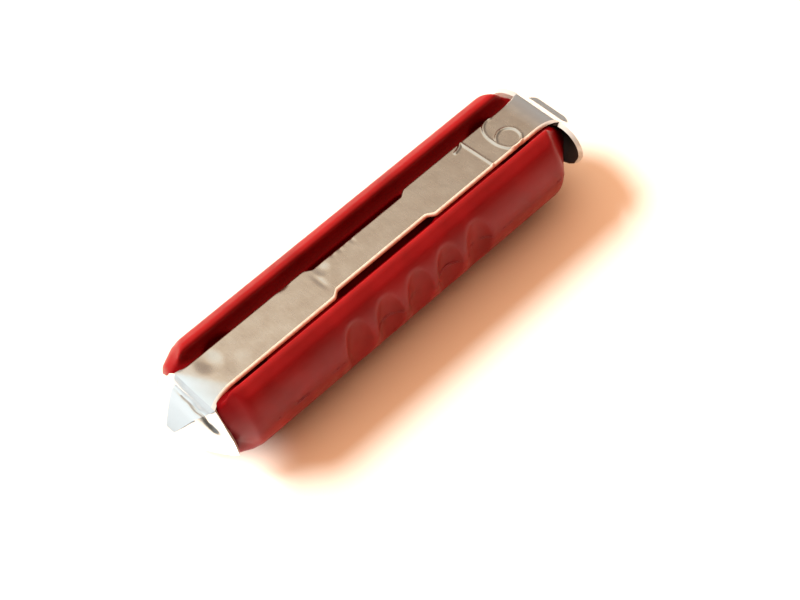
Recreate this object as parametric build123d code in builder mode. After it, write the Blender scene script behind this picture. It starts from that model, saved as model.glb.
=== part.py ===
from build123d import *
import os
from math import cos, radians, sin, tan

# Continental blade-less car fuse with conical ends: a moulded body with a channel along its top,
# and one stamped strip that lies in the channel and is formed into a contact cap at each end.
# Millimetres. X runs along the fuse, +Z is the side that shows the strip, and the origin is the
# middle of the flat underside.

# Overall sizes of the standard form
overall_length = 25.0
body_diameter = 6.0
underside_cut = 0.2  # from the lowest point of the round body up to the flat underside

# Moulded body
cone_slope = 45.0  # degrees from the axis
nose_radius = 0.7
nose_clearance = 0.14  # along the axis, between the body's nose and the cap
barrel_edge_radius = 0.6
nose_edge_radius = 0.2
rail_cut = 0.78  # from the highest point of the round body down to the tops of the rails
rail_flat_width = 0.12
rail_edge_radius = 0.14  # along the channel
rail_outer_slope = 32.0  # degrees below level
channel_width = 3.12
channel_depth = 0.68  # below the tops of the rails
channel_foot_radius = 0.28
ramp_lead = 0.25  # the floor turns down this much before the cap begins
ramp_slope = 46.0  # degrees below level
trough_length = 7.6
trough_side_gap = 0.02  # how much wider than the strip the trough is on each side
trough_depth = 0.9
hollow_length = 2.8
hollow_side_rest = 0.08  # what is left of the floor between a hollow and the channel's wall
hollow_depth = 0.5
hollow_setback = 2.45  # from the cap's mouth to the middle of a hollow
flute_count = 5
flute_pitch = 1.92
flute_shift = 0.27  # of the whole row, towards +X
flute_radius = 0.94
flute_depth = 0.46  # at the height of the axis

# Stamped strip
sheet_thickness = 0.22
strip_side_gap = 0.43  # to the channel's wall
link_notch = 0.26  # how much narrower than the strip the link is on each side
link_length = 5.68
shoulder_length = 0.36
flare_length = 0.95
flare_rise = 0.2  # how much wider the strip is on each side where it runs into the cap

# Contact caps: the one at -X hugs the cone, the one at +X stands off it
cap_depth = 1.65  # from the cap's mouth to its tip
cap_nose_scale = 0.26  # the tip's outline as a share of the mouth's
cap_belly_drop = 1.75  # the lower edge under the nose, below the axis
wing_tip_width = 0.55
near_cap_rise = 0.46  # from the body's cone to the outside of the cap, at the mouth
near_side_drop = 0.2  # the widest point, below the axis
near_tip_drop = 1.1  # the wing tips, below the axis
far_cap_gap = 0.04  # how much smaller the cap's radius is than the body's
far_side_drop = -0.3
far_tip_drop = -0.15

# Sizes that follow
body_radius = body_diameter / 2
half_length = overall_length / 2
axis_height = body_radius - underside_cut
rail_top = body_radius - rail_cut
rail_flat_edge = channel_width / 2 + rail_edge_radius + rail_flat_width
channel_floor = rail_top - channel_depth
strip_top = channel_floor + sheet_thickness
strip_half_width = channel_width / 2 - strip_side_gap
link_half_width = strip_half_width - link_notch
flare_half_width = strip_half_width + flare_rise
cap_mouth = half_length - cap_depth
cap_wall_shift = sheet_thickness / sin(radians(cone_slope))
cone_length = (body_radius - nose_radius) / tan(radians(cone_slope))
half_barrel = half_length - cap_wall_shift - nose_clearance - cone_length
cone_radius_at_mouth = body_radius - (cap_mouth - half_barrel) * tan(radians(cone_slope))
near_cap_radius = cone_radius_at_mouth + near_cap_rise
far_cap_radius = body_radius - far_cap_gap
ramp_start = cap_mouth - ramp_lead
ramp_drop = (half_length - ramp_start) * tan(radians(ramp_slope))
hollow_centre = cap_mouth - hollow_setback
flute_middle = body_radius - flute_depth + flute_radius
long_axis = Axis((0, 0, axis_height), (1, 0, 0))
side_view = Plane(origin=(0, 0, axis_height), x_dir=(1, 0, 0), z_dir=(0, -1, 0))


def end_view(distance):
    """A plane across the fuse, seen from its +X end, with its origin on the axis."""
    return Plane(origin=(distance, 0, axis_height), x_dir=(0, 1, 0), z_dir=(1, 0, 0))


# Body: a turned outline with a cone at each end, then everything that is cut into it
with BuildPart() as body:
    with BuildSketch(side_view) as outline:
        with BuildLine():
            Polyline(
                (-half_barrel - cone_length, 0),
                (-half_barrel - cone_length, nose_radius),
                (-half_barrel, body_radius),
                (half_barrel, body_radius),
                (half_barrel + cone_length, nose_radius),
                (half_barrel + cone_length, 0),
                close=True,
            )
        make_face()
        fillet(outline.vertices().group_by(Axis.Y)[-1], barrel_edge_radius)
        fillet(outline.vertices().group_by(Axis.Y)[1], nose_edge_radius)
    revolve(axis=long_axis)
    split(bisect_by=Plane.XY, keep=Keep.TOP)

    # Flutes down both sides, ending where the round of the body falls away from them
    with BuildSketch():
        with Locations((flute_shift, 0)):
            with GridLocations(flute_pitch, 2 * flute_middle, flute_count, 2):
                Circle(flute_radius)
    extrude(amount=body_diameter, mode=Mode.SUBTRACT)

    # Tops of the two rails: rounded along the channel and sloped off outwards
    rail_corner = (channel_width / 2, rail_top - rail_edge_radius)
    slope_run = Vector(cos(radians(rail_outer_slope)), -sin(radians(rail_outer_slope)))
    with BuildSketch(end_view(0)):
        with BuildLine():
            inner_round = TangentArc(
                rail_corner,
                (channel_width / 2 + rail_edge_radius, rail_top),
                tangent=(0, 1),
            )
            Polyline(
                inner_round @ 1,
                (rail_flat_edge, rail_top),
                Vector(rail_flat_edge, rail_top) + slope_run * body_radius,
                (body_diameter, body_diameter),
                (0, body_diameter),
                (0, rail_corner[1]),
                rail_corner,
            )
        make_face()
        mirror(about=Plane.YZ)
    extrude(amount=overall_length, both=True, mode=Mode.SUBTRACT)

    # Channel for the strip, rounded at the foot of its walls
    with BuildSketch(end_view(0)) as channel:
        with Locations((0, channel_floor)):
            Rectangle(channel_width, body_radius, align=(Align.CENTER, Align.MIN))
        fillet(channel.vertices().group_by(Axis.Y)[0], channel_foot_radius)
    extrude(amount=overall_length, both=True, mode=Mode.SUBTRACT)

    # The channel's floor turns down at both ends to follow the caps
    with BuildSketch(side_view):
        with BuildLine():
            Polyline(
                (ramp_start, channel_floor),
                (half_length, channel_floor - ramp_drop),
                (half_length, body_radius),
                (ramp_start, body_radius),
                close=True,
            )
        make_face()
        mirror(about=Plane.YZ)
    extrude(amount=body_radius, both=True, mode=Mode.SUBTRACT)

    # Trough that leaves air under the fuse link
    with BuildSketch(Plane.XY.offset(axis_height + channel_floor)):
        SlotOverall(trough_length, 2 * (strip_half_width + trough_side_gap))
    extrude(amount=-trough_depth, mode=Mode.SUBTRACT)

    # An oval hollow under the strip near each end, whose arched edges show beside it
    with BuildSketch(Plane.XY.offset(axis_height + channel_floor - hollow_depth)):
        with Locations((-hollow_centre, 0), (hollow_centre, 0)):
            Ellipse(hollow_length / 2, channel_width / 2 - hollow_side_rest)
    extrude(amount=body_radius, mode=Mode.SUBTRACT)
body.part.label = "moulded_body"


def cap_section(distance, scale, radius, side_drop):
    """A cap's outer outline across the fuse: flat on top, with round shoulders, round below."""
    flat_end = Vector(flare_half_width, strip_top) * scale
    side = Vector(radius, -side_drop) * scale
    shoulder = (flat_end + side).normalized() * radius * scale
    lowest = Vector(0, -radius) * scale
    with BuildSketch(end_view(distance)) as section:
        with BuildLine():
            Line((-flat_end.X, flat_end.Y), flat_end)
            ThreePointArc(flat_end, shoulder, side)
            ThreePointArc(side, lowest, (-side.X, side.Y))
            ThreePointArc((-side.X, side.Y), (-shoulder.X, shoulder.Y), (-flat_end.X, flat_end.Y))
        make_face()
    return section.sketch


def cap_keep(radius, tip_drop):
    """What the trimming die leaves of a cap: all above the wing tips and the belly's arc."""
    beyond = body_diameter
    inner = radius - wing_tip_width
    with BuildPart() as keep:
        with BuildSketch(end_view(0)):
            with BuildLine():
                Polyline(
                    (inner, -tip_drop),
                    (beyond, -tip_drop),
                    (beyond, beyond),
                    (-beyond, beyond),
                    (-beyond, -tip_drop),
                    (-inner, -tip_drop),
                )
                ThreePointArc((-inner, -tip_drop), (0, -cap_belly_drop), (inner, -tip_drop))
            make_face()
        extrude(amount=overall_length)
    return keep.part


def contact_cap(radius, side_drop, tip_drop):
    """A formed cap at the +X end: a hollow cone, trimmed to two wings and a rounded belly."""
    with BuildPart() as cone:
        add(cap_section(cap_mouth, 1, radius, side_drop))
        add(cap_section(half_length, cap_nose_scale, radius, side_drop))
        loft()
    shell = cone.part - Pos(-cap_wall_shift, 0, 0) * cone.part
    return shell & cap_keep(radius, tip_drop)


far_cap = contact_cap(far_cap_radius, far_side_drop, far_tip_drop)
near_cap = contact_cap(near_cap_radius, near_side_drop, near_tip_drop)

# Strip: the flat blank with its narrowed link and flared ends, and a hollow cap at each end
with BuildPart() as strip:
    flare_start = (cap_mouth - flare_length, strip_half_width)
    with BuildSketch(Plane.XY.offset(axis_height + channel_floor)):
        with BuildLine():
            Polyline(
                (0, 0),
                (0, link_half_width),
                (link_length / 2, link_half_width),
                (link_length / 2 + shoulder_length, strip_half_width),
                flare_start,
            )
            flare = TangentArc(flare_start, (cap_mouth, flare_half_width), tangent=(1, 0))
            Polyline(flare @ 1, (cap_mouth, 0), (0, 0))
        make_face()
        mirror(about=Plane.YZ)
        mirror(about=Plane.XZ)
    extrude(amount=sheet_thickness)
    add(far_cap)
    add(near_cap.mirror(Plane.YZ))
strip.part.label = "fuse_strip"

os.makedirs("parts", exist_ok=True)
export_step(body.part, "parts/moulded_body.step")
export_step(strip.part, "parts/fuse_strip.step")
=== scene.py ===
"""Looks of a continental car fuse with conical ends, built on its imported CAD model.

The moulded body is the CAD node's own form with its edges softened, as they leave the mould, its
near cone filled out a little, and the fine ridge that the mould's parting line leaves all round.
The stamped strip is formed from a flat blank: the bar with its narrowed link, the two contact
caps and the raised rating. Lengths in the dataclasses are millimetres in the CAD model's frame,
unless they say otherwise. The near end is the one at -X.
"""

import logging
from bisect import bisect_left
from dataclasses import dataclass, field
from enum import Enum
from math import atan2, cos, hypot, pi, radians, sin, sqrt
from typing import Sequence

import bpy
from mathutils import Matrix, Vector, noise


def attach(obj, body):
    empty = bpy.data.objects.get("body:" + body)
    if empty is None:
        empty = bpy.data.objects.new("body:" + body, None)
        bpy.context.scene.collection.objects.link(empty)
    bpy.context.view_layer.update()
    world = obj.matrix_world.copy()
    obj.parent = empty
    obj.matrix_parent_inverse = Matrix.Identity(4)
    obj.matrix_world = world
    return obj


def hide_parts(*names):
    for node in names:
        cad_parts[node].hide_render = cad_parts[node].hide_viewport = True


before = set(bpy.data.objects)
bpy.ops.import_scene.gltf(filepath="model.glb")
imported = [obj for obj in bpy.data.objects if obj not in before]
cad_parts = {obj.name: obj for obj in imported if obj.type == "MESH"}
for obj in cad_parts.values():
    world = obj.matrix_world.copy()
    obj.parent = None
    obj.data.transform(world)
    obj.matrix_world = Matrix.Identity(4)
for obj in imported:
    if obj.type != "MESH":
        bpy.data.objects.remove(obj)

LOG = logging.getLogger("fuse")
MILLIMETRE = 0.001
AXIS_HEIGHT = 2.8  # of the fuse's axis above its underside
SHEET_TOP = 1.76  # the outer face of the strip's flat, above the axis
BODY_NODE = "moulded_body"
STRIP_NODE = "fuse_strip"
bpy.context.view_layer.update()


class End(Enum):
    """The two ends of the fuse, by the way that each one points along X."""

    NEAR = -1
    FAR = 1


def deselect_everything() -> None:
    """Leaves object mode with nothing selected."""
    if bpy.context.object and bpy.context.object.mode != "OBJECT":
        bpy.ops.object.mode_set(mode="OBJECT")
    bpy.ops.object.select_all(action="DESELECT")


def pick(piece: bpy.types.Object) -> None:
    """Makes one object the only selected one, and the active one.

    Args:
        piece: The object to pick.
    """
    deselect_everything()
    piece.select_set(True)
    bpy.context.view_layer.objects.active = piece


def apply_modifier(piece: bpy.types.Object, kind: str, **settings: object) -> None:
    """Adds a modifier to a piece and applies it at once.

    Args:
        piece: The object that gets it.
        kind: Blender's name for the kind of modifier.
        **settings: The modifier's own settings.
    """
    pick(piece)
    modifier = piece.modifiers.new(kind.title(), kind)
    for name, value in settings.items():
        setattr(modifier, name, value)
    bpy.ops.object.modifier_apply(modifier=modifier.name)


def smooth_step(share: float) -> float:
    """A soft ramp from 0 to 1, flat at both ends."""
    held = min(1.0, max(0.0, share))
    return held * held * (3 - 2 * held)


def set_stops(node: bpy.types.Node, stops: Sequence[tuple[float, Sequence[float]]]) -> None:
    """Sets a colour ramp's stops.

    Args:
        node: The new ramp's node.
        stops: Places from 0 to 1 with their colours, as red, green and blue.
    """
    while len(node.color_ramp.elements) < len(stops):
        node.color_ramp.elements.new(0.5)
    for element, (at, colour) in zip(node.color_ramp.elements, stops):
        element.position = at
        element.color = (*colour, 1.0)


def from_axis(x: float, y: float, z: float) -> Vector:
    """A point given in millimetres from the middle of the fuse's axis, in Blender's metres."""
    return Vector((x, y, z + AXIS_HEIGHT)) * MILLIMETRE


def arc_through(
    start: Sequence[float], middle: Sequence[float], end: Sequence[float], steps: int
) -> list[tuple[float, float]]:
    """Points along the circle's arc through three points.

    Args:
        start: The arc's start, which is left out of the result.
        middle: A point on the way.
        end: The arc's end.
        steps: How many points are returned.

    Returns:
        The points, ending at the arc's end.
    """
    (ax, ay), (bx, by), (cx, cy) = start, middle, end
    twice = 2 * (ax * (by - cy) + bx * (cy - ay) + cx * (ay - by))
    if abs(twice) < 1e-6:
        shares = [(step + 1) / steps for step in range(steps)]
        return [(ax + (cx - ax) * share, ay + (cy - ay) * share) for share in shares]
    a2, b2, c2 = ax * ax + ay * ay, bx * bx + by * by, cx * cx + cy * cy
    centre_x = (a2 * (by - cy) + b2 * (cy - ay) + c2 * (ay - by)) / twice
    centre_y = (a2 * (cx - bx) + b2 * (ax - cx) + c2 * (bx - ax)) / twice
    radius = hypot(ax - centre_x, ay - centre_y)
    turns = [atan2(y - centre_y, x - centre_x) for x, y in (start, middle, end)]
    sweep = (turns[2] - turns[0]) % (2 * pi)
    if (turns[1] - turns[0]) % (2 * pi) > sweep:
        sweep -= 2 * pi
    points = []
    for step in range(steps):
        turn = turns[0] + sweep * (step + 1) / steps
        points.append((centre_x + radius * cos(turn), centre_y + radius * sin(turn)))
    return points


class Path:
    """A chain of points that can be asked for the point at a length along it."""

    def __init__(self, points: Sequence[tuple[float, float]]) -> None:
        """Measures the chain.

        Args:
            points: Its points, in order.
        """
        self.points = list(points)
        self.lengths = [0.0]
        for before, after in zip(self.points, self.points[1:]):
            step = hypot(after[0] - before[0], after[1] - before[1])
            self.lengths.append(self.lengths[-1] + step)

    def total(self) -> float:
        """The chain's whole length."""
        return self.lengths[-1]

    def at(self, length: float) -> tuple[float, float]:
        """The point at a length along the chain."""
        index = min(max(bisect_left(self.lengths, length), 1), len(self.points) - 1)
        before, after = self.points[index - 1], self.points[index]
        span = self.lengths[index] - self.lengths[index - 1]
        share = (length - self.lengths[index - 1]) / span if span else 0.0
        return (
            before[0] + (after[0] - before[0]) * share,
            before[1] + (after[1] - before[1]) * share,
        )

    def length_down_to(self, height: float) -> float:
        """The length along the chain to where it first comes down to a height."""
        for index, (_, high) in enumerate(self.points):
            if high <= height:
                return self.lengths[index]
        return self.total()

    def distance(self, x: float, y: float) -> float:
        """The shortest distance from a point to the chain."""
        return min(hypot(x - at_x, y - at_y) for at_x, at_y in self.points)


class Shader:
    """A material's nodes, with a short method for each kind that the finishes use."""

    def __init__(self, name: str) -> None:
        """Starts a material that holds a plain principled shader.

        Args:
            name: The material's name.
        """
        self.material = bpy.data.materials.new(name)
        self.material.use_nodes = True
        self.tree = self.material.node_tree
        self.principled = self.tree.nodes["Principled BSDF"]
        coordinates = self.tree.nodes.new("ShaderNodeTexCoord")
        self.place = self.stretched(coordinates.outputs["Object"], (1.0, 1.0, 1.0))

    def stretched(
        self, place: bpy.types.NodeSocket, grain: Sequence[float]
    ) -> bpy.types.NodeSocket:
        """Coordinates in millimetres, squeezed along each axis by the grain's numbers.

        Args:
            place: Coordinates in metres.
            grain: How many times finer a pattern becomes along X, Y and Z.

        Returns:
            The new coordinates.
        """
        mapping = self.tree.nodes.new("ShaderNodeMapping")
        mapping.inputs["Scale"].default_value = [share / MILLIMETRE for share in grain]
        self.tree.links.new(place, mapping.inputs["Vector"])
        return mapping.outputs["Vector"]

    def axes(self) -> bpy.types.bpy_prop_collection:
        """The coordinates in millimetres, as separate values named X, Y and Z."""
        parts = self.tree.nodes.new("ShaderNodeSeparateXYZ")
        self.tree.links.new(self.place, parts.inputs["Vector"])
        return parts.outputs

    def grained(self, grain: Sequence[float]) -> bpy.types.NodeSocket:
        """Object coordinates in millimetres for a pattern with a direction."""
        coordinates = self.tree.nodes.new("ShaderNodeTexCoord")
        return self.stretched(coordinates.outputs["Object"], grain)

    def cloud(
        self, size: float, detail: float = 3.0, place: bpy.types.NodeSocket | None = None
    ) -> bpy.types.NodeSocket:
        """Noise with blotches of a given size.

        Args:
            size: The blotches' size in millimetres.
            detail: How many finer layers it has.
            place: The coordinates, where they aren't the plain ones.

        Returns:
            The noise's value socket.
        """
        texture = self.tree.nodes.new("ShaderNodeTexNoise")
        texture.inputs["Scale"].default_value = 1.0 / size
        texture.inputs["Detail"].default_value = detail
        self.tree.links.new(place or self.place, texture.inputs["Vector"])
        return texture.outputs["Fac"]

    def ramp(
        self, value: bpy.types.NodeSocket, stops: Sequence[tuple[float, Sequence[float]]]
    ) -> bpy.types.NodeSocket:
        """A colour ramp.

        Args:
            value: What runs along the ramp.
            stops: Places from 0 to 1 with their colours, as red, green and blue.

        Returns:
            The ramp's colour socket.
        """
        node = self.tree.nodes.new("ShaderNodeValToRGB")
        set_stops(node, stops)
        self.tree.links.new(value, node.inputs["Fac"])
        return node.outputs["Color"]

    def spread(
        self, value: bpy.types.NodeSocket, source: Sequence[float], target: Sequence[float]
    ) -> bpy.types.NodeSocket:
        """Maps one range of values to another and holds it there.

        Args:
            value: The value to map.
            source: Its lowest and highest value.
            target: What those two become.

        Returns:
            The mapped value's socket.
        """
        node = self.tree.nodes.new("ShaderNodeMapRange")
        node.inputs["From Min"].default_value = source[0]
        node.inputs["From Max"].default_value = source[1]
        node.inputs["To Min"].default_value = target[0]
        node.inputs["To Max"].default_value = target[1]
        self.tree.links.new(value, node.inputs["Value"])
        return node.outputs["Result"]

    def combined(
        self, operation: str, first: bpy.types.NodeSocket, second: bpy.types.NodeSocket | float
    ) -> bpy.types.NodeSocket:
        """Joins two values by one of Blender's math operations.

        Args:
            operation: The operation's name.
            first: The first value.
            second: The second value, or a number.

        Returns:
            The result's socket.
        """
        node = self.tree.nodes.new("ShaderNodeMath")
        node.operation = operation
        self.tree.links.new(first, node.inputs[0])
        if isinstance(second, bpy.types.NodeSocket):
            self.tree.links.new(second, node.inputs[1])
        else:
            node.inputs[1].default_value = second
        return node.outputs["Value"]

    def mixed(
        self,
        share: bpy.types.NodeSocket,
        first: bpy.types.NodeSocket,
        second: bpy.types.NodeSocket | Sequence[float],
    ) -> bpy.types.NodeSocket:
        """Mixes two colours.

        Args:
            share: How much of the second one shows.
            first: The first colour.
            second: The second colour, as a socket or as red, green and blue.

        Returns:
            The mixed colour's socket.
        """
        node = self.tree.nodes.new("ShaderNodeMix")
        node.data_type = "RGBA"
        self.tree.links.new(share, node.inputs["Factor"])
        self.tree.links.new(first, node.inputs["A"])
        if isinstance(second, bpy.types.NodeSocket):
            self.tree.links.new(second, node.inputs["B"])
        else:
            node.inputs["B"].default_value = (*second, 1.0)
        return node.outputs["Result"]

    def raise_by(self, height: bpy.types.NodeSocket, depth: float) -> None:
        """Adds a bump to the surface, over any that it has.

        Args:
            height: The pattern, from 0 to 1.
            depth: How deep the pattern is, in millimetres.
        """
        bump = self.tree.nodes.new("ShaderNodeBump")
        bump.inputs["Distance"].default_value = depth * MILLIMETRE
        bump.inputs["Strength"].default_value = 1.0
        self.tree.links.new(height, bump.inputs["Height"])
        normal = self.principled.inputs["Normal"]
        if normal.links:
            self.tree.links.new(normal.links[0].from_socket, bump.inputs["Normal"])
        self.tree.links.new(bump.outputs["Normal"], normal)

    def feed(self, name: str, value: bpy.types.NodeSocket | float | Sequence[float]) -> None:
        """Sets one of the shader's inputs, by a socket or by a plain value."""
        if isinstance(value, bpy.types.NodeSocket):
            self.tree.links.new(value, self.principled.inputs[name])
        else:
            self.principled.inputs[name].default_value = value


@dataclass(frozen=True)
class MouldedRed:
    """The body's red plastic: satin gloss, faintly cloudy, with handling scratches, and with
    painted shade in the channel's foot, inside the far cap and on the near cone's -Y side.
    """

    deep: tuple[float, float, float] = (0.225, 0.003, 0.004)
    light: tuple[float, float, float] = (0.30, 0.005, 0.007)
    # The red of the painted shade in the channel's foot, inside the far cap and on the near cone.
    painted_shade: tuple[float, float, float] = (0.14, 0.0005, 0.002)
    roughness: tuple[float, float] = (0.34, 0.46)
    gloss: tuple[float, float] = (0.30, 0.06)  # where it is unshaded, and where the painted shade is
    glow: float = 0.4  # how much light goes through the plastic's skin
    glow_depth: float = 0.35
    glow_reach: tuple[float, float, float] = (1.0, 0.10, 0.08)  # of red, green and blue light
    channel_side: tuple[float, float] = (1.48, 1.74)  # from the middle, where its painted shade ends
    channel_top: tuple[float, float] = (4.36, 4.70)  # where it ends, above the underside
    channel_foot: tuple[float, float] = (3.6, 3.8)  # where it starts, above the underside
    far_cap: tuple[float, float] = (10.25, 10.75)  # along the fuse, where the painted shade inside the far cap grows
    near_cap: tuple[float, float] = (-10.3, -9.3)
    near_shade_depth: float = 0.85  # how deep the painted shade on the near cone is
    near_front: tuple[float, float] = (-1.4, -0.6)  # across the fuse, where that painted shade ends

    def build(self) -> bpy.types.Material:
        """Returns the finished material."""
        shader = Shader("moulded_red")
        clouds = shader.cloud(2.2, 4.0)
        unshaded = shader.ramp(clouds, ((0.35, self.deep), (0.65, self.light)))
        axes = shader.axes()
        from_middle = shader.combined("ABSOLUTE", axes["Y"], 0.0)
        between = shader.spread(from_middle, self.channel_side, (1.0, 0.0))
        beneath = shader.spread(axes["Z"], self.channel_top, (1.0, 0.0))
        high = shader.spread(axes["Z"], self.channel_foot, (0.0, 1.0))
        channel = shader.combined("MULTIPLY", shader.combined("MULTIPLY", between, beneath), high)
        # Painted shade inside the far cap, where the cap's wings shade the cone.
        capped = shader.spread(axes["X"], self.far_cap, (0.0, 1.0))
        # Painted shade on the near cone's -Y side, beside the cap's rim.
        near = shader.spread(axes["X"], self.near_cap, (self.near_shade_depth, 0.0))
        front = shader.spread(axes["Y"], self.near_front, (1.0, 0.0))
        tucked = shader.combined("MULTIPLY", near, front)
        # Painted shade: the body turns to the painted-shade red, and less glossy, in the
        # channel's foot, inside the far cap and on the near cone's -Y side.
        shade_share = shader.combined("MAXIMUM", shader.combined("MAXIMUM", channel, capped), tucked)
        shader.feed("Base Color", shader.mixed(shade_share, unshaded, self.painted_shade))
        shader.feed("Roughness", shader.spread(shader.cloud(0.6), (0.3, 0.7), self.roughness))
        shader.feed("IOR", 1.45)
        shader.feed("Specular IOR Level", shader.spread(shade_share, (0.0, 1.0), self.gloss))
        shader.feed("Subsurface Weight", self.glow)
        shader.feed("Subsurface Radius", self.glow_reach)
        shader.feed("Subsurface Scale", self.glow_depth * MILLIMETRE)
        shader.raise_by(shader.cloud(0.16, 2.0), 0.0012)
        shader.raise_by(shader.cloud(0.5, 2.0, shader.grained((0.16, 1.0, 1.0))), 0.004)
        return shader.material


@dataclass(frozen=True)
class TinnedSheet:
    """The strip's tinned sheet: satin and beige, with painted shade along the bar towards the far
    end, and paler on the caps, a painted reflection, where it is also smoother.
    """

    bar_dark: tuple[float, float, float] = (0.74, 0.66, 0.56)
    bar_light: tuple[float, float, float] = (0.84, 0.78, 0.68)
    # Painted shade: darker and browner towards the far end.
    far_shade: tuple[float, float, float] = (0.66, 0.57, 0.46)
    far_shade_run: tuple[float, float] = (-9.0, 10.0)  # along the fuse, where it grows
    far_shade_share: float = 0.6  # how much of it shows at the far end
    # The caps' paler colour is a painted reflection of the pale light at the fuse's ends.
    cap: tuple[float, float, float] = (0.93, 0.96, 0.96)
    roughness: tuple[float, float] = (0.20, 0.30)
    cap_polish: float = 0.75  # the caps' roughness as a share of the bar's
    cap_start: float = 9.8  # from the fuse's middle
    cap_full: float = 10.8

    def build(self) -> bpy.types.Material:
        """Returns the finished material."""
        shader = Shader("tinned_sheet")
        mottle = shader.cloud(0.9, 5.0)
        bar = shader.ramp(mottle, ((0.35, self.bar_dark), (0.65, self.bar_light)))
        axes = shader.axes()
        # Painted shade grows along the bar towards the far end.
        farness = shader.spread(axes["X"], self.far_shade_run, (0.0, self.far_shade_share))
        bar = shader.mixed(farness, bar, self.far_shade)
        from_middle = shader.combined("ABSOLUTE", axes["X"], 0.0)
        capness = shader.spread(from_middle, (self.cap_start, self.cap_full), (0.0, 1.0))
        # The caps turn paler, a painted reflection, and smoother.
        shader.feed("Base Color", shader.mixed(capness, bar, self.cap))
        shader.feed("Metallic", 1.0)
        dullness = shader.spread(shader.cloud(0.35), (0.3, 0.7), self.roughness)
        polish = shader.spread(capness, (0.0, 1.0), (1.0, self.cap_polish))
        shader.feed("Roughness", shader.combined("MULTIPLY", dullness, polish))
        shader.raise_by(shader.cloud(0.10, 2.0, shader.grained((1.0, 0.12, 1.0))), 0.0016)
        shader.raise_by(shader.cloud(0.8, 3.0), 0.012)
        return shader.material


@dataclass(frozen=True)
class ShearedEdge:
    """The strip's cut edges, where the bare copper alloy shows under the tin."""

    dark: tuple[float, float, float] = (0.95, 0.70, 0.54)
    light: tuple[float, float, float] = (1.0, 0.90, 0.74)
    tin: tuple[float, float, float] = (0.70, 0.66, 0.60)
    tinned_from: tuple[float, float] = (9.6, 10.6)  # from the fuse's middle
    metallic: float = 0.35
    roughness: tuple[float, float] = (0.28, 0.5)

    def build(self) -> bpy.types.Material:
        """Returns the finished material."""
        shader = Shader("sheared_edge")
        drag = shader.cloud(0.25, 3.0, shader.grained((1.6, 1.6, 0.3)))
        bare = shader.ramp(drag, ((0.3, self.dark), (0.6, self.light)))
        axes = shader.axes()
        from_middle = shader.combined("ABSOLUTE", axes["X"], 0.0)
        tinned = shader.spread(from_middle, self.tinned_from, (0.0, 1.0))
        shader.feed("Base Color", shader.mixed(tinned, bare, self.tin))
        shader.feed("Metallic", self.metallic)
        shader.feed("Roughness", shader.spread(drag, (0.3, 0.7), self.roughness))
        shader.raise_by(drag, 0.006)
        return shader.material


@dataclass(frozen=True)
class InsideWithPaintedShade:
    """The strip's inner side: dark with painted shade inside the -Y wings, paler elsewhere."""

    # The painted shade inside the -Y wings, where only shade falls.
    dark: tuple[float, float, float] = (0.030, 0.016, 0.014)
    pale: tuple[float, float, float] = (0.86, 0.84, 0.80)
    across: tuple[float, float] = (0.4, 1.2)  # across the fuse, where the painted shade turns into pale
    metallic: tuple[float, float] = (0.2, 0.9)  # where the painted shade is, and where it is pale
    roughness: float = 0.55

    def build(self) -> bpy.types.Material:
        """Returns the finished material."""
        shader = Shader("inside_with_painted_shade")
        axes = shader.axes()
        paleness = shader.spread(axes["Y"], self.across, (0.0, 1.0))
        shade_mottle = shader.cloud(0.7, 3.0)
        # Painted shade on the -Y side, mottled between its colour and twice it.
        dark = shader.ramp(shade_mottle, ((0.3, self.dark), (0.7, [2 * part for part in self.dark])))
        shader.feed("Base Color", shader.mixed(paleness, dark, self.pale))
        shader.feed("Metallic", shader.spread(paleness, (0.0, 1.0), self.metallic))
        shader.feed("Roughness", self.roughness)
        return shader.material


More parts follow.
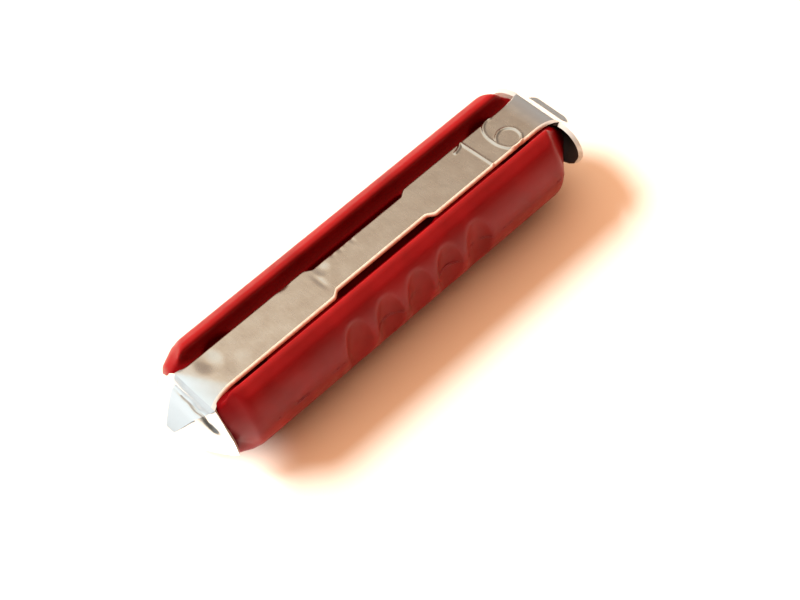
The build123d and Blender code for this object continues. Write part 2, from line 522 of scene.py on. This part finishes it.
@dataclass
class MouldedBody:
    """The moulded red body, with softened edges and the ridge at its parting line."""

    voxel: float = 0.09
    edge_rounds: int = 10  # smoothing passes
    radius: float = 3.0
    cone_start: float = 9.75  # from the fuse's middle
    near_fullness: float = 0.55  # how much less the near cone narrows, per length
    below_from: float = 0.30  # depth below the axis as a share of the radius, where it is fuller
    below_run: float = 1.55  # how far along the cone it is
    beyond_from: float = 0.66  # distance towards +Y as a share of the radius, likewise
    beyond_run: float = 1.4
    flash_radius: float = 0.05
    flash_sunk: float = 0.06  # how deep the middle of the bead lies in the body
    flash_waver: float = 0.10

    def build(self) -> bpy.types.Object:
        """Builds the body over its CAD node.

        Returns:
            The finished body.
        """
        body = self.softened_copy()
        ridge = self.flash(body)
        deselect_everything()
        ridge.select_set(True)
        body.select_set(True)
        bpy.context.view_layer.objects.active = body
        bpy.ops.object.join()
        body.data.materials.clear()
        body.data.materials.append(MouldedRed().build())
        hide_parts(BODY_NODE)
        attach(body, "root")
        return body

    def softened_copy(self) -> bpy.types.Object:
        """Copies the CAD node's form and rounds its edges as moulded ones are.

        Returns:
            The new object.
        """
        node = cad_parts[BODY_NODE]
        body = bpy.data.objects.new("red_moulding", node.data.copy())
        bpy.context.scene.collection.objects.link(body)
        pick(body)
        bpy.ops.object.mode_set(mode="EDIT")
        bpy.ops.mesh.select_all(action="SELECT")
        bpy.ops.mesh.remove_doubles(threshold=0.0005 * MILLIMETRE)
        bpy.ops.object.mode_set(mode="OBJECT")
        apply_modifier(body, "REMESH", mode="VOXEL", voxel_size=self.voxel * MILLIMETRE)
        apply_modifier(body, "SMOOTH", factor=0.5, iterations=self.edge_rounds)
        for vertex in body.data.vertices:
            vertex.co = self.filled_out(vertex.co)
        pick(body)
        bpy.ops.object.shade_smooth()
        return body

    def filled_out(self, place: Vector) -> Vector:
        """Moves a point of the near cone outwards, below and on the +Y side, where it is fuller.

        Args:
            place: The point, in metres.

        Returns:
            Its new place.
        """
        x, y, z = place / MILLIMETRE
        z -= AXIS_HEIGHT
        run = -x - self.cone_start
        radius = hypot(y, z)
        if run <= 0 or radius < 0.3:
            return place
        below = smooth_step((-z / radius - self.below_from) / 0.35)
        below *= smooth_step((self.below_run - run) / 0.5)
        beyond = smooth_step((y / radius - self.beyond_from) / 0.26)
        beyond *= smooth_step((self.beyond_run - run) / 0.5)
        outside = smooth_step((radius - self.radius + run + 0.25) / 0.2)
        growth = self.near_fullness * run * max(below, beyond) * outside
        grown = 1 + growth / radius
        return from_axis(x, y * grown, max(z * grown, -AXIS_HEIGHT))

    def flash(self, body: bpy.types.Object) -> bpy.types.Object:
        """Makes the fine ridge of the parting line, all round the body at the axis's height.

        Args:
            body: The softened body, whose outline the ridge follows.

        Returns:
            The ridge, as a ragged bead that is half sunk in the body.
        """
        ridge = body.copy()
        ridge.data = body.data.copy()
        ridge.name = "flash"
        bpy.context.scene.collection.objects.link(ridge)
        pick(ridge)
        bpy.ops.object.mode_set(mode="EDIT")
        bpy.ops.mesh.select_all(action="SELECT")
        bpy.ops.mesh.bisect(
            plane_co=from_axis(0.0, 0.0, 0.0),
            plane_no=(0.0, 0.0, 1.0),
            clear_inner=True,
            clear_outer=True,
        )
        bpy.ops.object.mode_set(mode="OBJECT")
        bpy.ops.object.convert(target="CURVE")
        ridge.data.bevel_depth = self.flash_radius * MILLIMETRE
        ridge.data.bevel_resolution = 2
        bpy.ops.object.convert(target="MESH")
        for vertex in ridge.data.vertices:
            place = vertex.co / MILLIMETRE
            waver = noise.noise(Vector((place.x * 0.9, place.y, 3.0)))
            fine = noise.noise(Vector((place.x * 4.0, place.y, 8.0)))
            inwards = Vector((0.0, -place.y, 0.0)).normalized()
            sunk = self.flash_sunk - self.flash_waver * (waver + 0.4 * fine)
            vertex.co += inwards * sunk * MILLIMETRE
        return ridge


@dataclass(frozen=True)
class Wing:
    """One side of a contact cap, by its outline across the fuse at the cap's mouth.

    Heights are above the axis. The shoulder and the side are points as Y and height, with Y
    counted outwards.
    """

    flat: float  # from the middle to the edge of the flat top
    shoulder: tuple[float, float]
    side: tuple[float, float]
    tip: float  # the height of the wing's tip
    reach: float = 0.0  # how much further than the mouth the sheet goes at the tip, in scale
    corner: float = 0.0  # how much of the tip's corner is rounded off, in scale
    low_share: float = 0.72  # a point between the side and the belly, as a share of both

    def outline(self, belly: float, steps: int = 160) -> list[tuple[float, float]]:
        """Traces the outline from the middle of the flat top to the middle of the belly.

        Args:
            belly: How far the outline's lowest point is below the axis.
            steps: How many points each arc gets.

        Returns:
            The points, as Y outwards and height.
        """
        points = [(0.0, SHEET_TOP), (self.flat, SHEET_TOP)]
        points += arc_through(points[-1], self.shoulder, self.side, steps)
        low = (self.low_share * self.side[0], -self.low_share * belly)
        points += arc_through(self.side, low, (0.0, -belly), steps)
        return points


@dataclass
class ContactCap:
    """One end of the strip, formed into a hollow cap over the body's cone.

    Its outline across the fuse is flat on top, falls over two shoulders and is round below. The
    outline shrinks towards the nose, and the sheet ends in two wings at the cap's mouth.
    """

    end: End
    left: Wing  # the one at -Y
    right: Wing
    mouth: float = 10.85
    nose: float = 12.5
    belly: float = 2.3
    nose_scale: float = 0.26
    nose_curve: float = 1.0  # above 1 rounds the way to the nose
    closing_scale: float = 0.58  # from here to the nose the sheet goes all the way round
    groove: float = 0.0  # the depth of the crease across the top, as a share of the outline
    groove_scale: float = 0.86
    groove_width: float = 0.07
    groove_waver: float = 0.8
    corner_start: float = 0.7  # the way to the tip where its rounded corner begins
    rings: int = 30
    flat_columns: int = 72
    wing_columns: int = 40

    def along(self, scale: float) -> float:
        """How far from the fuse's middle a ring of this scale stands."""
        share = max(0.0, (scale - self.nose_scale) / (1 - self.nose_scale))
        return self.nose - (self.nose - self.mouth) * share**self.nose_curve

    def columns(self) -> int:
        """How many faces a ring has."""
        return self.flat_columns + 2 * self.wing_columns

    def start_scale(self, wing: Wing, share: float) -> float:
        """Where the sheet starts at the mouth, as the outline's scale there.

        Args:
            wing: The side of the cap.
            share: The way from the edge of the flat top to the wing's tip, from 0 to 1.

        Returns:
            The scale of the outline at the rim.
        """
        start = 1 + wing.reach * share
        bend = max(0.0, (share - self.corner_start) / (1 - self.corner_start))
        return start - wing.corner * (1 - sqrt(max(0.0, 1 - bend * bend)))

    def place(self, column: int, row: float, paths: dict[int, "Path"]) -> Vector:
        """Where one point of the formed sheet lies.

        Args:
            column: Its column, counted from the -Y wing's edge.
            row: The way from the rim to the nose, from 0 to 1.
            paths: The outlines' paths, by the side's sign.

        Returns:
            The point, in metres.
        """
        side = -1 if column < self.columns() / 2 else 1
        wing = self.left if side < 0 else self.right
        path = paths[side]
        from_middle = abs(column - self.columns() / 2)
        flat = self.flat_columns / 2
        share = max(0.0, (from_middle - flat) / self.wing_columns)
        start = self.start_scale(wing, share)
        scale = start * (1 - row)
        if share == 0.0:
            length = wing.flat * from_middle / flat
        else:
            tip = path.length_down_to(wing.tip)
            closed = smooth_step((1 - scale) / (1 - self.closing_scale))
            edge = tip + (path.total() - tip) * closed
            length = wing.flat + (edge - wing.flat) * share
        y, z = path.at(length)
        waver = noise.noise(Vector((y * side * 0.9, z * 0.9, 5.0)))
        away = (scale - self.groove_scale) / self.groove_width + self.groove_waver * waver
        depth = self.groove * (1 + waver) * smooth_step((z - 0.2) / 1.2)
        size = scale * (1 - depth / (1 + away * away) ** 2)
        return from_axis(self.end.value * self.along(scale), side * y * size, z * size)

    def build(self) -> bpy.types.Object:
        """Forms the cap from a flat grid.

        Returns:
            The cap as a sheet with no thickness.
        """
        deselect_everything()
        bpy.ops.mesh.primitive_grid_add(
            x_subdivisions=self.columns(), y_subdivisions=self.rings, size=2.0
        )
        cap = bpy.context.object
        cap.name = f"cap_{self.end.name.lower()}"
        paths = {
            -1: Path(self.left.outline(self.belly)),
            1: Path(self.right.outline(self.belly)),
        }
        for vertex in cap.data.vertices:
            column = round((vertex.co.x + 1) / 2 * self.columns())
            vertex.co = self.place(column, (vertex.co.y + 1) / 2, paths)
        if self.end is End.NEAR:
            cap.data.flip_normals()
        return cap


NEAR_CAP = ContactCap(
    End.NEAR,
    left=Wing(flat=1.48, shoulder=(2.00, 0.90), side=(2.52, -1.05), tip=-1.85, reach=0.0),
    right=Wing(flat=1.20, shoulder=(2.12, 0.80), side=(2.92, -0.20), tip=-0.35, reach=0.0),
    belly=2.55,
    nose_scale=0.17,
    nose_curve=1.12,
    groove=0.08,
)
FAR_CAP = ContactCap(
    End.FAR,
    left=Wing(flat=1.45, shoulder=(2.60, 1.44), side=(2.96, 0.62), tip=0.24, corner=0.10),
    right=Wing(flat=1.30, shoulder=(1.85, 1.54), side=(2.24, 1.06), tip=0.95, reach=0.15),
    mouth=11.1,
    belly=2.3,
    closing_scale=0.70,
    nose_scale=0.10,
    nose_curve=1.3,
)


def smooth_line(knots: Sequence[tuple[float, float]], steps: int = 14) -> Path:
    """A smooth line through a few points, by Catmull and Rom's rule.

    Args:
        knots: The points that it passes.
        steps: How many points each span gets.

    Returns:
        The line.
    """
    padded = [knots[0], *knots, knots[-1]]
    points = []
    for before, start, end, after in zip(padded, padded[1:], padded[2:], padded[3:]):
        for step in range(steps):
            t = step / steps
            points.append(
                tuple(
                    0.5
                    * (
                        2 * b
                        + (c - a) * t
                        + (2 * a - 5 * b + 4 * c - d) * t * t
                        + (3 * b - a - 3 * c + d) * t**3
                    )
                    for a, b, c, d in zip(before, start, end, after)
                )
            )
    points.append(knots[-1])
    return Path(points)


@dataclass
class StampedRating:
    """The rating, 16, whose strokes stand up from the bar."""

    height: float = 0.07
    half_width: float = 0.12  # of a stroke
    span: tuple[float, float] = (6.1, 9.6)  # along the fuse, with all of the strokes in it
    one: tuple[tuple[float, float], ...] = ((7.05, -1.00), (7.01, 0.0), (6.96, 1.05))
    flag: tuple[tuple[float, float], ...] = ((6.96, 1.05), (6.72, 0.86), (6.37, 0.77))
    six: tuple[tuple[float, float], ...] = (
        (8.98, 1.04),
        (8.70, 1.08),
        (8.35, 0.88),
        (8.12, 0.52),
        (8.04, 0.05),
        (8.08, -0.45),
        (8.28, -0.88),
        (8.62, -1.06),
        (9.00, -1.00),
        (9.26, -0.72),
        (9.30, -0.30),
        (9.08, 0.04),
        (8.70, 0.16),
        (8.32, 0.02),
        (8.10, -0.24),
    )

    def strokes(self) -> list[Path]:
        """The strokes' middle lines."""
        return [smooth_line(knots) for knots in (self.one, self.flag, self.six)]

    def rise(self, x: float, y: float, strokes: Sequence[Path]) -> float:
        """How high the bar's surface is raised at a place.

        Args:
            x: The place along the fuse.
            y: The place across it.
            strokes: The strokes' middle lines.

        Returns:
            The rise in millimetres.
        """
        if not self.span[0] < x < self.span[1]:
            return 0.0
        away = min(stroke.distance(x, y) for stroke in strokes)
        return self.height * smooth_step(1 - away / self.half_width)


# Small dents in the bar, each by its place along and across, its width, its length and its depth
NICKS = (
    (-1.65, 0.86, 0.16, 0.34, 0.035),
    (-1.20, 0.80, 0.14, 0.42, 0.030),
    (-0.90, 0.86, 0.12, 0.30, 0.025),
    (-0.45, 0.80, 0.14, 0.45, 0.030),
    (-2.55, 0.55, 0.50, 0.50, 0.050),
    (-3.05, 0.10, 0.22, 0.90, 0.030),
    (-4.40, 1.05, 0.55, 0.20, 0.040),
    (-8.60, -0.40, 0.90, 0.60, 0.030),
    (-9.42, 0.55, 0.75, 0.80, 0.080),
)


@dataclass
class FuseStrip:
    """The one-piece stamping: a bar with a narrowed link, and a cap at each end."""

    half_width: float = 1.13
    link_half_width: float = 0.87
    link_half_length: float = 2.84
    shoulder_length: float = 0.36
    flare_start: float = 9.9
    thickness: float = 0.22
    edge_round: float = 0.14
    edge_fade: float = 0.9  # how far before the caps the edges become square again
    edge_columns: int = 6  # that the rolled edge takes on each side
    bend_start: float = 9.99  # from the fuse's middle, where the near end begins to turn down
    bend_skew: float = 0.56  # how much later it begins per length across
    bend_slope: float = 0.17
    bend_onset: float = 0.7  # the length in which it reaches that slope
    bend_fade: float = 0.9  # how far beyond the cap's mouth it reaches
    far_bend_start: float = 10.3
    far_bend: float = 0.30  # how quickly the far end curves down
    station_step: float = 0.1
    fine_step: float = 0.035  # where the rating is
    near: ContactCap = field(default_factory=lambda: NEAR_CAP)
    far: ContactCap = field(default_factory=lambda: FAR_CAP)
    rating: StampedRating = field(default_factory=StampedRating)

    def half_width_at(self, x: float, end_half_width: float) -> float:
        """Half the bar's width at a distance along the fuse.

        Args:
            x: The distance from the fuse's middle.
            end_half_width: Half the width of the cap's flat top, where the bar meets it.

        Returns:
            Half the width there.
        """
        out = abs(x)
        if out <= self.link_half_length:
            return self.link_half_width
        if out <= self.link_half_length + self.shoulder_length:
            share = (out - self.link_half_length) / self.shoulder_length
            return self.link_half_width + share * (self.half_width - self.link_half_width)
        if out <= self.flare_start:
            return self.half_width
        mouth = self.near.mouth if x < 0 else self.far.mouth
        share = (out - self.flare_start) / (mouth - self.flare_start)
        return self.half_width + (end_half_width - self.half_width) * share * share

    def stations(self) -> list[float]:
        """The places along the fuse where the bar has a row of points, closer at the rating."""
        places = [-self.near.mouth]
        while places[-1] < self.far.mouth - self.fine_step:
            fine = self.rating.span[0] < places[-1] < self.rating.span[1]
            places.append(places[-1] + (self.fine_step if fine else self.station_step))
        places[-1] = self.far.mouth
        return places

    def sag(self, x: float, y: float) -> float:
        """How far below the flat the dented bar lies at a place.

        Args:
            x: The place along the fuse.
            y: The place across it.

        Returns:
            The depth in millimetres.
        """
        depth = 0.0
        for nick_x, nick_y, nick_width, nick_length, nick_depth in NICKS:
            away = hypot((x - nick_x) / nick_width, (y - nick_y) / nick_length)
            depth += nick_depth * smooth_step(1 - away)
        return depth

    def turned_down(self, place: Vector) -> Vector:
        """Lowers a point of the strip where its near end is bent and its far end curves down.

        Args:
            place: The point, in metres.

        Returns:
            Its new place.
        """
        x, y, z = place / MILLIMETRE
        z -= AXIS_HEIGHT
        past = -x - self.bend_start - self.bend_skew * y
        if past > 0:
            dip = self.bend_slope * past * smooth_step(past / self.bend_onset)
        else:
            past = max(0.0, x - self.far_bend_start)
            dip = self.far_bend * past * past
        mouth = self.near.mouth if x < 0 else self.far.mouth
        dip *= smooth_step((mouth + self.bend_fade - abs(x)) / self.bend_fade)
        dip *= smooth_step((z + 0.5) / 1.6)
        return from_axis(x, y, z - dip)

    def bar(self) -> bpy.types.Object:
        """Shapes the bar from a flat grid whose ends meet the caps' flat tops.

        Returns:
            The bar as a sheet with no thickness.
        """
        deselect_everything()
        places = self.stations()
        columns = self.far.flat_columns
        bpy.ops.mesh.primitive_grid_add(
            x_subdivisions=len(places) - 1, y_subdivisions=columns, size=2.0
        )
        bar = bpy.context.object
        bar.name = "bar"
        strokes = self.rating.strokes()
        for vertex in bar.data.vertices:
            x = places[round((vertex.co.x + 1) / 2 * (len(places) - 1))]
            cap = self.near if x < 0 else self.far
            wing = cap.left if vertex.co.y < 0 else cap.right
            y, drop = self.across(vertex.co.y, x, self.half_width_at(x, wing.flat))
            rise = self.rating.rise(x, y, strokes) - self.sag(x, y) - drop
            vertex.co = from_axis(x, y, SHEET_TOP + rise)
        bar.data.materials.append(TinnedSheet().build())
        bar.data.materials.append(ShearedEdge().build())
        bar.data.materials.append(InsideWithPaintedShade().build())
        for face in bar.data.polygons:
            column = face.index // (len(places) - 1)
            face.material_index = 1 if column < self.edge_columns else 0
        return bar

    def across(self, share: float, x: float, half_width: float) -> tuple[float, float]:
        """Where a column of the bar lies across it, with its edges rolled over by the shears.

        Args:
            share: The column's place, from -1 at the -Y edge to 1 at the +Y edge.
            x: The place along the fuse.
            half_width: Half the bar's width there.

        Returns:
            Its Y, and its depth below the flat.
        """
        flat_share = 1 - 2 * self.edge_columns / self.far.flat_columns
        turn = max(0.0, (abs(share) - flat_share) / (1 - flat_share)) * pi / 2
        flat_half = half_width - self.edge_round
        y = min(1.0, abs(share) / flat_share) * flat_half + self.edge_round * sin(turn)
        mouth = self.near.mouth if x < 0 else self.far.mouth
        fade = smooth_step((mouth - abs(x)) / self.edge_fade)
        y = half_width * abs(share) * (1 - fade) + y * fade
        return (y if share > 0 else -y), self.edge_round * (1 - cos(turn)) * fade

    def build(self) -> bpy.types.Object:
        """Joins the bar and the caps, gives them their thickness and dresses them.

        Returns:
            The finished strip.
        """
        strip = self.bar()
        caps = [cap.build() for cap in (self.near, self.far)]
        for cap in caps:
            cap.data.materials.append(strip.data.materials[0])
        deselect_everything()
        for piece in (*caps, strip):
            piece.select_set(True)
        bpy.context.view_layer.objects.active = strip
        bpy.ops.object.join()
        strip.name = "tinned_strip"
        bpy.ops.object.mode_set(mode="EDIT")
        bpy.ops.mesh.select_all(action="SELECT")
        bpy.ops.mesh.remove_doubles(threshold=0.002 * MILLIMETRE)
        bpy.ops.mesh.normals_make_consistent(inside=False)
        bpy.ops.object.mode_set(mode="OBJECT")
        for vertex in strip.data.vertices:
            vertex.co = self.turned_down(vertex.co)
        apply_modifier(
            strip,
            "SOLIDIFY",
            thickness=self.thickness * MILLIMETRE,
            offset=-1.0,
            use_even_offset=True,
            material_offset=2,  # the inner side
            material_offset_rim=1,  # the cut edges
        )
        pick(strip)
        bpy.ops.object.shade_smooth_by_angle(angle=radians(40))
        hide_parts(STRIP_NODE)
        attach(strip, "root")
        return strip


@dataclass
class Studio:
    """The pale floor, the lamps, the world and the camera."""

    camera_place: tuple[float, float, float] = (-35.894, -47.642, 80.622)
    camera_turn: tuple[float, float, float] = (36.161, 4.787, -44.478)  # degrees
    camera_lens: float = 95.27  # on a sensor 36 wide
    floor_width: float = 900.0
    floor_colour: tuple[float, float, float] = (0.88, 0.83, 0.73)
    floor_roughness: float = 0.7
    key_place: tuple[float, float, float] = (-255.0, 440.0, 580.0)
    key_size: tuple[float, float] = (420.0, 220.0)
    key_power: float = 10.4
    key_colour: tuple[float, float, float] = (0.80, 0.95, 1.0)
    side_place: tuple[float, float, float] = (-80.0, -22.0, 46.0)
    side_aim: tuple[float, float, float] = (-15.0, -3.4, 0.0)
    side_spread: float = 4.6  # degrees
    side_power: float = 2.2
    fill_colour: tuple[float, float, float] = (0.74, 0.385, 0.225)
    fill_levels: tuple[float, float] = (0.11, 2.3)  # on the dim side and on the bright side
    mirror_levels: tuple[float, float] = (0.25, 1.2)
    mirror_tones: tuple[tuple[float, tuple[float, float, float]], ...] = (
        (0.02, (0.36, 0.32, 0.29)),
        (0.20, (0.68, 0.58, 0.47)),
        (0.32, (0.76, 0.73, 0.67)),
        (0.46, (0.74, 0.79, 0.78)),
        (0.80, (0.82, 0.86, 0.87)),
    )
    tones_towards: tuple[float, float, float] = (-0.86, 0.10, 0.50)  # the last mirror tone
    sky_towards: tuple[float, float, float] = (0.05, 0.70, 0.71)  # the bright side
    sky_reach: tuple[float, float] = (-0.30, 0.80)  # from the dim side to the bright one

    def build(self) -> None:
        """Sets up everything round the object."""
        self.floor()
        self.key_lamp()
        self.side_lamp()
        self.world()
        self.camera()
        bpy.context.scene.view_settings.view_transform = "Standard"

    def floor(self) -> bpy.types.Object:
        """Lays the floor under the fuse.

        Returns:
            The floor.
        """
        deselect_everything()
        bpy.ops.mesh.primitive_plane_add(size=self.floor_width * MILLIMETRE)
        floor = bpy.context.object
        floor.name = "floor"
        shader = Shader("pale_floor")
        shader.feed("Base Color", (*self.floor_colour, 1.0))
        shader.feed("Roughness", self.floor_roughness)
        floor.data.materials.append(shader.material)
        return floor

    def key_lamp(self) -> None:
        """Hangs the large soft lamp beyond the fuse's far side."""
        deselect_everything()
        place = Vector(self.key_place) * MILLIMETRE
        bpy.ops.object.light_add(type="AREA", location=place)
        lamp = bpy.context.object
        lamp.rotation_euler = (-place).to_track_quat("-Z", "Y").to_euler()
        lamp.data.shape = "ELLIPSE"
        lamp.data.size = self.key_size[0] * MILLIMETRE
        lamp.data.size_y = self.key_size[1] * MILLIMETRE
        lamp.data.energy = self.key_power
        lamp.data.color = self.key_colour
        lamp.visible_glossy = False

    def side_lamp(self) -> None:
        """Points a narrow lamp with a soft rim at the near end and the floor beside it."""
        deselect_everything()
        place = Vector(self.side_place) * MILLIMETRE
        aim = Vector(self.side_aim) * MILLIMETRE
        bpy.ops.object.light_add(type="SPOT", location=place)
        lamp = bpy.context.object
        lamp.rotation_euler = (aim - place).to_track_quat("-Z", "Y").to_euler()
        lamp.data.spot_size = radians(self.side_spread)
        lamp.data.spot_blend = 1.0
        lamp.data.shadow_soft_size = 0.001
        lamp.data.energy = self.side_power
        lamp.visible_glossy = False

    def world(self) -> None:
        """Lights the scene softly from above and from beyond the fuse, and shows white behind it.

        What falls on the object is warm. What it reflects runs from brown to a cool pale grey
        towards the near end. Both fade out towards the camera's side and the horizon.
        """
        world = bpy.data.worlds.new("studio")
        bpy.context.scene.world = world
        world.use_nodes = True
        tree = world.node_tree
        coordinates = tree.nodes.new("ShaderNodeTexCoord")
        facing = tree.nodes.new("ShaderNodeVectorMath")
        facing.operation = "DOT_PRODUCT"
        facing.inputs[1].default_value = self.sky_towards
        tree.links.new(coordinates.outputs["Generated"], facing.inputs[0])
        path = tree.nodes.new("ShaderNodeLightPath")
        fill = self.sky(tree, facing.outputs["Value"], self.fill_colour, self.fill_levels)
        mirrored = self.sky(tree, facing.outputs["Value"], (1.0, 1.0, 1.0), self.mirror_levels)
        sideways = tree.nodes.new("ShaderNodeVectorMath")
        sideways.operation = "DOT_PRODUCT"
        sideways.inputs[1].default_value = self.tones_towards
        tree.links.new(coordinates.outputs["Generated"], sideways.inputs[0])
        tone = tree.nodes.new("ShaderNodeValToRGB")
        set_stops(tone, self.mirror_tones)
        tree.links.new(sideways.outputs["Value"], tone.inputs["Fac"])
        tree.links.new(tone.outputs["Color"], mirrored.inputs["Color"])
        white = tree.nodes["Background"]
        white.inputs["Color"].default_value = (1.0, 1.0, 1.0, 1.0)
        shown = fill
        for ray, light in (("Is Glossy Ray", mirrored), ("Is Camera Ray", white)):
            mix = tree.nodes.new("ShaderNodeMixShader")
            tree.links.new(path.outputs[ray], mix.inputs["Fac"])
            tree.links.new(shown.outputs[0], mix.inputs[1])
            tree.links.new(light.outputs[0], mix.inputs[2])
            shown = mix
        tree.links.new(shown.outputs[0], tree.nodes["World Output"].inputs["Surface"])

    def sky(
        self,
        tree: bpy.types.NodeTree,
        facing: bpy.types.NodeSocket,
        colour: Sequence[float],
        levels: Sequence[float],
    ) -> bpy.types.Node:
        """A background whose strength runs from one level to another.

        Args:
            tree: The world's nodes.
            facing: How much a direction faces the bright side, from -1 to 1.
            colour: The light's colour.
            levels: Its strength on the dim side and on the bright side.

        Returns:
            The background's node.
        """
        strength = tree.nodes.new("ShaderNodeMapRange")
        strength.interpolation_type = "SMOOTHSTEP"
        strength.inputs["From Min"].default_value = self.sky_reach[0]
        strength.inputs["From Max"].default_value = self.sky_reach[1]
        strength.inputs["To Min"].default_value = levels[0]
        strength.inputs["To Max"].default_value = levels[1]
        tree.links.new(facing, strength.inputs["Value"])
        background = tree.nodes.new("ShaderNodeBackground")
        background.inputs["Color"].default_value = (*colour, 1.0)
        tree.links.new(strength.outputs["Result"], background.inputs["Strength"])
        return background

    def camera(self) -> None:
        """Places the camera as the photograph was taken."""
        deselect_everything()
        bpy.ops.object.camera_add(
            location=Vector(self.camera_place) * MILLIMETRE,
            rotation=[radians(turn) for turn in self.camera_turn],
        )
        camera = bpy.context.object
        camera.data.sensor_width = 36.0
        camera.data.lens = self.camera_lens
        camera.data.clip_start = 0.01
        bpy.context.scene.camera = camera


def main() -> None:
    """Builds the studio and the fuse."""
    logging.basicConfig(level=logging.INFO, format="%(name)s: %(message)s")
    Studio().build()
    for maker in (MouldedBody(), FuseStrip()):
        piece = maker.build()
        LOG.info("%s has %d faces", piece.name, len(piece.data.polygons))


if __name__ == "__main__":
    main()
